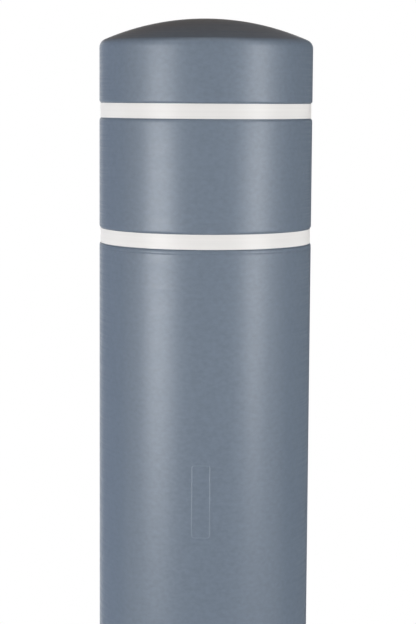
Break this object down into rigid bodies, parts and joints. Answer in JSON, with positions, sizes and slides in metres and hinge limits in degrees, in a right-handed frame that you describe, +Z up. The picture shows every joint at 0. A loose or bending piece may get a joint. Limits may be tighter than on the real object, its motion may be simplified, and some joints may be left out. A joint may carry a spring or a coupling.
{
  "type": "bollard cover sleeve",
  "caption": "Tall plastic cylinder with a shallow domed top and recessed reflective bands, which slips over a steel pipe bollard and is centred on it by foam strips inside.",
  "frame": {"origin": "centre of the bottom rim, on the ground", "axes": "+Z up along the sleeve towards the dome, -Y towards the picture's camera"},
  "size_m": [0.1873, 0.1874, 1.321],
  "materials": {
    "sleeve_plastic": "satin",
    "reflective_tape": "satin",
    "foam": "matte"
  },
  "bodies": {
    "root": {"sleeve_shell": "sleeve_plastic", "upper_reflective_tape": "reflective_tape", "lower_reflective_tape": "reflective_tape", "upper_foam_strip_1": "foam", "upper_foam_strip_2": "foam", "upper_foam_strip_3": "foam", "upper_foam_strip_4": "foam", "lower_foam_strip_1": "foam", "lower_foam_strip_2": "foam", "lower_foam_strip_3": "foam", "lower_foam_strip_4": "foam"}
  },
  "joints": []
}
